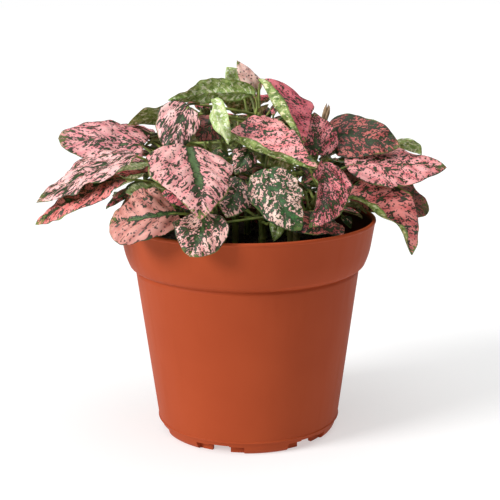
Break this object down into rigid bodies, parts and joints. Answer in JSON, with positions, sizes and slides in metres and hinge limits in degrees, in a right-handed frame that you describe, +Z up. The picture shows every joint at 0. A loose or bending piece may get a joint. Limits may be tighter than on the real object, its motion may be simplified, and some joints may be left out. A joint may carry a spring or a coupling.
{
  "type": "potted polka dot plant",
  "caption": "Bushy foliage plant with pink, green-freckled leaves on soft stems, growing from soil in a round terracotta-coloured plastic nursery pot.",
  "frame": {"origin": "centre of the pot's base, on the surface that the pot stands on", "axes": "+Z up along the pot's axis, +X to the right as the picture sees the plant and along its longest spread, -Y towards the viewer"},
  "size_m": [0.163, 0.1172, 0.1515],
  "materials": {
    "pot": "satin moulded plastic",
    "soil": "damp, dark, crumbly potting mix",
    "stem": "soft, satin, olive green",
    "leaf_pale": "pale pink upper side freckled dark green, light green below",
    "leaf_coral": "coral pink upper side freckled dark green, light green below",
    "leaf_deep": "deep pink upper side freckled dark green, light green below",
    "leaf_green": "green upper side flecked with pale pink, light green below",
    "leaf_shade": "brownish pink older leaf freckled dark green",
    "leaf_young": "light green with whitish flecks",
    "bud": "dry, papery brown"
  },
  "bodies": {
    "root": {"pot": "pot", "soil": "soil", "stem_left": "stem", "stem_front_left": "stem", "stem_upper_left": "stem", "stem_centre": "stem", "stem_front": "stem", "stem_right": "stem", "stem_front_right": "stem", "stem_back_right": "stem", "stem_back": "stem", "stem_back_left": "stem", "bud": "bud", "leaf_left_upper": "leaf_pale", "leaf_left_middle": "leaf_pale", "leaf_left_lower": "leaf_coral", "leaf_centre_large": "leaf_pale", "leaf_front_left": "leaf_coral", "leaf_front_low": "leaf_pale", "leaf_right_large": "leaf_coral", "leaf_right_drooping": "leaf_coral", "leaf_front_right": "leaf_deep", "leaf_front_centre": "leaf_green", "leaf_upper_left": "leaf_pale", "leaf_middle_long": "leaf_coral", "leaf_top_long": "leaf_deep", "leaf_top_arched": "leaf_young", "leaf_young_hanging": "leaf_young", "leaf_top_small": "leaf_coral", "leaf_top_small_pale": "leaf_young", "leaf_right_upper": "leaf_deep", "leaf_right_inner": "leaf_deep", "leaf_right_shaded": "leaf_shade", "leaf_left_edge_on": "leaf_young", "leaf_inner_dark": "leaf_shade", "leaf_inner_small": "leaf_pale", "leaf_inner_lower": "leaf_coral", "leaf_under_left": "leaf_shade", "leaf_low_left": "leaf_shade", "leaf_low_left_inner": "leaf_deep", "leaf_right_rounded": "leaf_young", "leaf_front_bud_leaf": "leaf_young", "leaf_front_inside": "leaf_shade", "leaf_back_left_upper": "leaf_pale", "leaf_back_left_lower": "leaf_coral", "leaf_left_behind": "leaf_deep", "leaf_back_left_drooping": "leaf_deep", "leaf_back_drooping": "leaf_coral", "leaf_back_low": "leaf_pale", "leaf_back_middle_left": "leaf_pale", "leaf_back_middle_right": "leaf_coral", "leaf_back_top": "leaf_deep", "leaf_back_upper_left": "leaf_coral", "leaf_back_upper_right": "leaf_pale", "leaf_back_crown": "leaf_deep", "leaf_back_right_upper": "leaf_coral", "leaf_back_right_drooping": "leaf_pale", "leaf_back_right_middle": "leaf_deep", "leaf_right_side": "leaf_coral", "leaf_left_back": "leaf_pale"}
  },
  "joints": []
}
